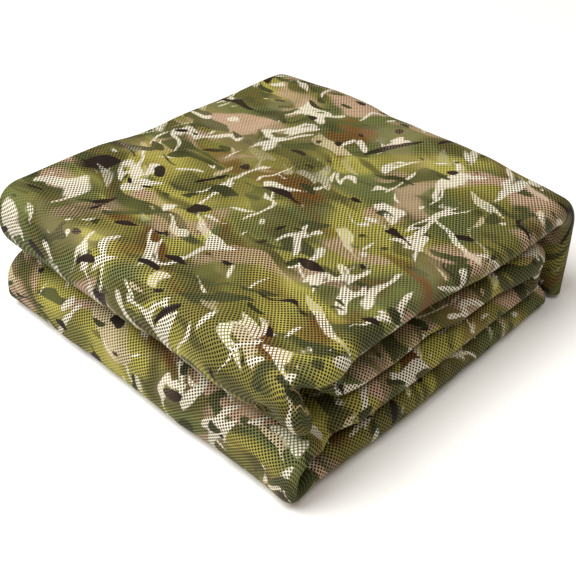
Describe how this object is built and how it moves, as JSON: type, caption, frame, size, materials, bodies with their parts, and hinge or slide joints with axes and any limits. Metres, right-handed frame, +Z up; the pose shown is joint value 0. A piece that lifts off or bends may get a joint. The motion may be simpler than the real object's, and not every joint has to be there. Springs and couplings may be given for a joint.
{
  "type": "camouflage netting",
  "caption": "Camouflage netting of printed mesh cloth, folded lengthwise and then back and forth into a flat square packet with rounded folds.",
  "frame": {"origin": "middle of the packet's footprint, on the surface it rests on", "axes": "+Z up; -Y towards the side with the two rounded fold ends; +X towards the side with the layers' rounded edges"},
  "size_m": [0.3022, 0.3092, 0.1055],
  "materials": {
    "camouflage_netting": "matte printed knitted polyester mesh"
  },
  "bodies": {
    "root": {"camouflage_netting": "camouflage_netting"}
  },
  "joints": []
}
